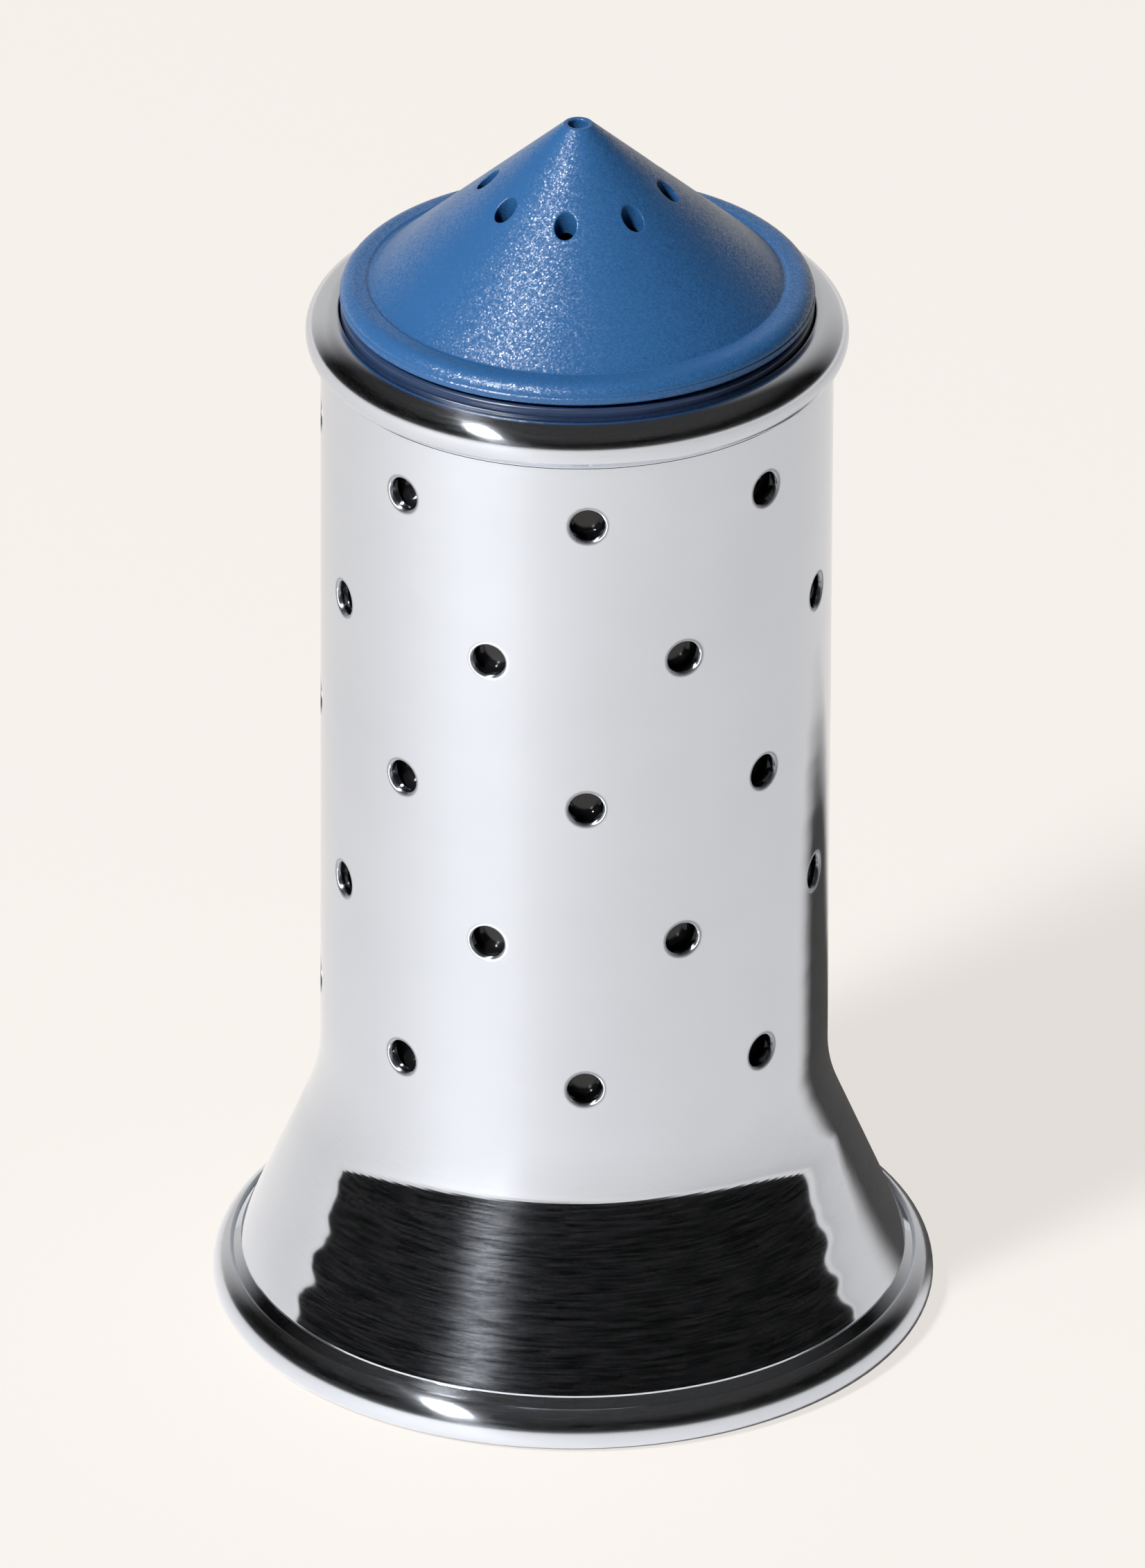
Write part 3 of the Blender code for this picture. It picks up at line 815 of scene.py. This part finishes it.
def add_camera():
    """Long lens whose aim point falls on its pixel of the photograph.

    The frame is turned a little for that, not shifted.
    """
    right, _, back = view_axes()
    up = back.cross(right)
    focal = PIXELS_A_MM * VIEW_DISTANCE
    left_turn = (AIM_PIXEL[0] - IMAGE_SIZE[0] / 2) / focal
    down_turn = (IMAGE_SIZE[1] / 2 - AIM_PIXEL[1]) / focal
    facing = Matrix((right, up, back)).transposed().to_4x4()
    facing = facing @ Matrix.Rotation(VIEW_ROLL, 4, "Z") @ Matrix.Rotation(left_turn, 4, "Y")
    facing = facing @ Matrix.Rotation(-down_turn, 4, "X")
    lens = bpy.data.cameras.new("view_camera")
    lens.sensor_width = SENSOR
    lens.lens = SENSOR * focal / max(IMAGE_SIZE)
    lens.clip_end = VIEW_REACH
    camera = bpy.data.objects.new("view_camera", lens)
    camera.matrix_world = Matrix.Translation((Vector((0, 0, AIM_Z)) + back * VIEW_DISTANCE) * MM) @ facing
    bpy.context.scene.collection.objects.link(camera)
    bpy.context.scene.camera = camera


def floor_finish():
    """Plain pale floor.

    Most of what the camera sees of it glows in its own colour, which keeps its shadow light. Mirrors see
    the far floor glow, and the near floor hardly. From below the camera looks through it.
    """
    finish = bpy.data.materials.new("pale_floor")
    finish.use_nodes = True
    tree = finish.node_tree
    tree.nodes.clear()
    path = add_node(tree, "ShaderNodeLightPath").outputs
    place = add_node(tree, "ShaderNodeTexCoord").outputs["Object"]
    distance = add_node(tree, "ShaderNodeVectorMath", links={0: place}, operation="LENGTH").outputs["Value"]
    mirrored = math_node(tree, "ADD", path["Is Glossy Ray"], path["Is Transmission Ray"])
    far_share = mapped_range(tree, distance, FLOOR_FAR, FLOOR_MIRRORED)
    far_glow = math_node(tree, "MULTIPLY", mirrored, far_share)
    glow = math_node(tree, "MULTIPLY_ADD", path["Is Camera Ray"], FLOOR_SEEN, far_glow)
    matt = add_node(tree, "ShaderNodeBsdfPrincipled", {
        "Base Color": FLOOR_CREAM, "Roughness": FLOOR_ROUGHNESS, "Specular IOR Level": FLOOR_GLOSS,
        "IOR": FLOOR_IOR})
    bright = add_node(tree, "ShaderNodeEmission", {"Color": FLOOR_CREAM, "Strength": 1.0})
    top = add_node(tree, "ShaderNodeMixShader", links={0: glow, 1: matt.outputs[0], 2: bright.outputs[0]})
    below = add_node(tree, "ShaderNodeNewGeometry").outputs["Backfacing"]
    through = math_node(tree, "MULTIPLY", below, path["Is Camera Ray"])
    clear = add_node(tree, "ShaderNodeBsdfTransparent")
    both = add_node(tree, "ShaderNodeMixShader", links={0: through, 1: top.outputs[0], 2: clear.outputs[0]})
    add_node(tree, "ShaderNodeOutputMaterial", links={"Surface": both.outputs[0]})
    return finish


def add_floor():
    """Flat square at the height that the foot stands on."""
    corner = np.array([(-1, -1, 0), (1, -1, 0), (1, 1, 0), (-1, 1, 0)], float) * FLOOR_HALF
    mesh = bpy.data.meshes.new("floor")
    mesh.from_pydata(corner, [], [(0, 1, 2, 3)])
    mesh.materials.append(floor_finish())
    floor = bpy.data.objects.new("floor", mesh)
    bpy.context.scene.collection.objects.link(floor)


def add_key_light():
    """One soft lamp, high on the left in front, its long side in the view's upright plane."""
    right, away, _ = view_axes()
    direction = right * KEY_DIRECTION[0] + away * KEY_DIRECTION[1] + Vector((0, 0, KEY_DIRECTION[2]))
    direction.normalize()
    tall = direction.cross(right).normalized()
    facing = Matrix((tall.cross(direction), tall, direction)).transposed().to_4x4()
    lamp = bpy.data.lights.new("key_light", "AREA")
    lamp.shape = "RECTANGLE"
    lamp.size, lamp.size_y = KEY_SIZE
    lamp.energy = KEY_POWER
    key = bpy.data.objects.new("key_light", lamp)
    key.matrix_world = Matrix.Translation(direction * KEY_DISTANCE) @ facing
    bpy.context.scene.collection.objects.link(key)


def along(tree, heading, axis):
    """How far a unit heading points along an axis, from -1 to 1."""
    made = add_node(tree, "ShaderNodeVectorMath", {1: axis}, {0: heading}, operation="DOT_PRODUCT")
    return made.outputs["Value"]


def backdrop_share(tree, heading):
    """How far a heading meets the light backdrop behind the object, from 0 to 1.

    Its edges are soft, and on the right it is wider and higher than on the left.
    """
    right, away, _ = view_axes()
    behind = along(tree, heading, away)
    sideways = along(tree, heading, right)
    left_part = mapped_range(tree, behind, BACKDROP_LEFT_SPAN, (0.0, 1.0))
    right_part = mapped_range(tree, behind, BACKDROP_RIGHT_SPAN, (0.0, 1.0))
    to_right = mapped_range(tree, sideways, BACKDROP_SIDES, (0.0, 1.0))
    gain = math_node(tree, "MULTIPLY", math_node(tree, "SUBTRACT", right_part, left_part), to_right)
    spread = math_node(tree, "ADD", left_part, gain)
    rise = mapped_range(tree, sideways, BACKDROP_RISE_SPAN, BACKDROP_RISE)
    level = math_node(tree, "SUBTRACT", z_part(tree, heading), rise)
    low = mapped_range(tree, level, BACKDROP_TOP_SPAN, (1.0, 0.0))
    return math_node(tree, "MULTIPLY", spread, low)


def add_surroundings():
    """World: a pale ground for the camera.

    For light it is a dark room with a dim ceiling, and for mirrors there is a light backdrop too.
    """
    world = bpy.data.worlds.new("studio")
    world.use_nodes = True
    bpy.context.scene.world = world
    tree = world.node_tree
    tree.nodes.clear()
    path = add_node(tree, "ShaderNodeLightPath").outputs
    heading = add_node(tree, "ShaderNodeTexCoord").outputs["Generated"]
    backdrop = math_node(tree, "MULTIPLY", backdrop_share(tree, heading), BACKDROP_LIGHT)
    backdrop = math_node(tree, "MULTIPLY", backdrop, path["Is Glossy Ray"])
    ceiling = mapped_range(tree, z_part(tree, heading), CEILING_SPAN, ROOM_LIGHT)
    light = math_node(tree, "ADD", backdrop, ceiling)
    room = add_node(tree, "ShaderNodeBackground", {"Color": FLOOR_CREAM}, {"Strength": light})
    ground = add_node(tree, "ShaderNodeBackground", {"Color": FLOOR_CREAM, "Strength": 1.0})
    both = add_node(tree, "ShaderNodeMixShader",
                    links={0: path["Is Camera Ray"], 1: room.outputs[0], 2: ground.outputs[0]})
    add_node(tree, "ShaderNodeOutputWorld", links={"Surface": both.outputs[0]})


def stand_for(piece, body, node):
    """The piece stands for a node of the frame, which it hides, and moves with its body."""
    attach(piece, body)
    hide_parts(node)


stand_for(make_sleeve(polished_steel()), "shaker", "steel_sleeve")
stand_for(make_cup(gloss_black()), "shaker", "salt_cup")
stand_for(make_collar(shade_painted_blue()), "shaker", "collar_ring")
stand_for(make_lid(grained_blue()), "lid", "cone_lid")
stand_for(make_seal(black_rubber()), "seal", "lid_seal")

add_camera()
add_floor()
add_key_light()
add_surroundings()
bpy.context.scene.view_settings.view_transform = "Standard"
